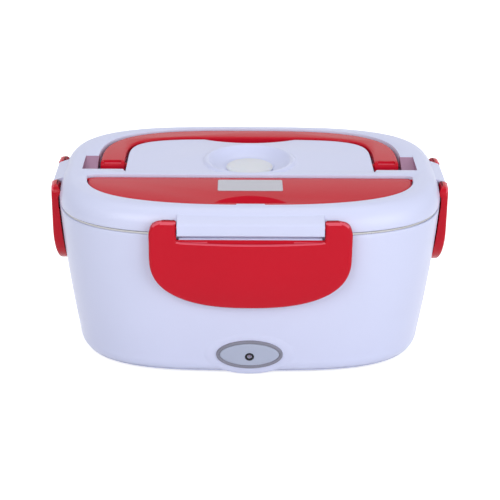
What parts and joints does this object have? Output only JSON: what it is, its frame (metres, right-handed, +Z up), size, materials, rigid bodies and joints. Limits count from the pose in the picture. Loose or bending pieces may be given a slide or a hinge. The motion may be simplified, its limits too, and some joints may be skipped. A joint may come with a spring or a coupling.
{
  "type": "electric lunch box",
  "caption": "Heated lunch box with a clip-on lid, four snap latches, folding carry handle, spoon compartment, steam valve, steel food container and lamp panel.",
  "frame": {"origin": "middle of the four rubber feet, on the surface that the box stands on", "axes": "+X along the box to its right end, +Y to its back, +Z up; the lamp panel faces -Y"},
  "size_m": [0.238, 0.1728, 0.1086],
  "materials": {
    "white_plastic": "smooth moulded plastic, soft gloss",
    "inner_plastic": "plain moulded plastic",
    "red_plastic": "glossy moulded plastic",
    "steel_sheet": "brushed stainless sheet",
    "screw_steel": "zinc plated",
    "heater_aluminium": "cast, turned flat",
    "foot_rubber": "matt rubber",
    "silicone": "translucent silicone",
    "black_plastic": "moulded plastic",
    "grey_plastic": "satin plastic",
    "silver_plate": "satin silver film",
    "badge_silver": "satin",
    "brass": "plated",
    "ceramic_heater": "film wrapped ceramic",
    "board_green": "solder mask",
    "led_red": "tinted epoxy",
    "wire_red": "insulation"
  },
  "bodies": {
    "case": {"outer_case": "white_plastic", "inner_liner": "inner_plastic", "base_cover": "white_plastic", "base_screws": "screw_steel", "rubber_feet": "foot_rubber", "heater_plate": "heater_aluminium", "plate_gasket": "silicone", "ptc_heater": "ceramic_heater", "heater_clamp": "screw_steel", "clamp_screws": "screw_steel", "thermostat": "black_plastic", "thermal_fuse": "screw_steel", "lamp_board": "board_green", "indicator_led": "led_red", "lamp_bezel": "grey_plastic", "lamp_face": "silver_plate", "lamp_holder": "black_plastic", "inlet_socket": "black_plastic", "inlet_pins": "brass", "wiring": "wire_red"},
    "inlet_cap": {"inlet_cap": "silicone"},
    "pan": {"food_pan": "steel_sheet"},
    "tray": {"side_tray": "inner_plastic"},
    "tray_lid": {"tray_lid": "red_plastic"},
    "lid": {"lid_shell": "white_plastic", "lid_deck": "white_plastic", "lid_scoop": "white_plastic", "lid_liner": "inner_plastic", "lid_seal": "silicone", "spoon": "inner_plastic"},
    "valve": {"vent_valve": "silicone"},
    "handle": {"carry_handle": "red_plastic"},
    "cover": {"spoon_cover": "red_plastic", "blank_plate": "badge_silver"},
    "latch_front": {"latch_front": "red_plastic"},
    "latch_rear": {"latch_rear": "red_plastic"},
    "latch_left": {"latch_left": "red_plastic"},
    "latch_right": {"latch_right": "red_plastic"}
  },
  "joints": [
    {"name": "pan_lift", "type": "slide", "parent": "case", "child": "pan", "axis": [0, 0, 1], "range_m": [0, 0.4]},
    {"name": "tray_lift", "type": "slide", "parent": "pan", "child": "tray", "axis": [0, 0, 1], "range_m": [0, 0.4]},
    {"name": "tray_lid_lift", "type": "slide", "parent": "tray", "child": "tray_lid", "axis": [0, 0, 1], "range_m": [0, 0.4]},
    {"name": "lid_lift", "type": "slide", "parent": "tray_lid", "child": "lid", "axis": [0, 0, 1], "range_m": [0, 0.4]},
    {"name": "valve_pull", "type": "slide", "parent": "lid", "child": "valve", "axis": [0, 0, 1], "range_m": [0, 0.0024]},
    {"name": "handle_swing", "type": "hinge", "parent": "lid", "child": "handle", "pos_m": [0, 0.007, 0.104], "axis": [1, 0, 0], "range_deg": [0, 95]},
    {"name": "cover_open", "type": "hinge", "parent": "lid", "child": "cover", "pos_m": [0, -0.024, 0.1063], "axis": [-1, 0, 0], "range_deg": [0, 100]},
    {"name": "latch_front_open", "type": "hinge", "parent": "lid", "child": "latch_front", "pos_m": [0, -0.0836, 0.0999], "axis": [-1, 0, 0], "range_deg": [0, 150]},
    {"name": "latch_rear_open", "type": "hinge", "parent": "lid", "child": "latch_rear", "pos_m": [0, 0.0836, 0.0999], "axis": [1, 0, 0], "range_deg": [0, 150]},
    {"name": "latch_left_open", "type": "hinge", "parent": "lid", "child": "latch_left", "pos_m": [-0.1162, 0, 0.0999], "axis": [0, 1, 0], "range_deg": [0, 150]},
    {"name": "latch_right_open", "type": "hinge", "parent": "lid", "child": "latch_right", "pos_m": [0.1162, 0, 0.0999], "axis": [0, -1, 0], "range_deg": [0, 150]},
    {"name": "inlet_cap_open", "type": "hinge", "parent": "case", "child": "inlet_cap", "pos_m": [0, 0.07654, 0.01129], "axis": [-1, 0, 0], "range_deg": [0, 110]}
  ]
}
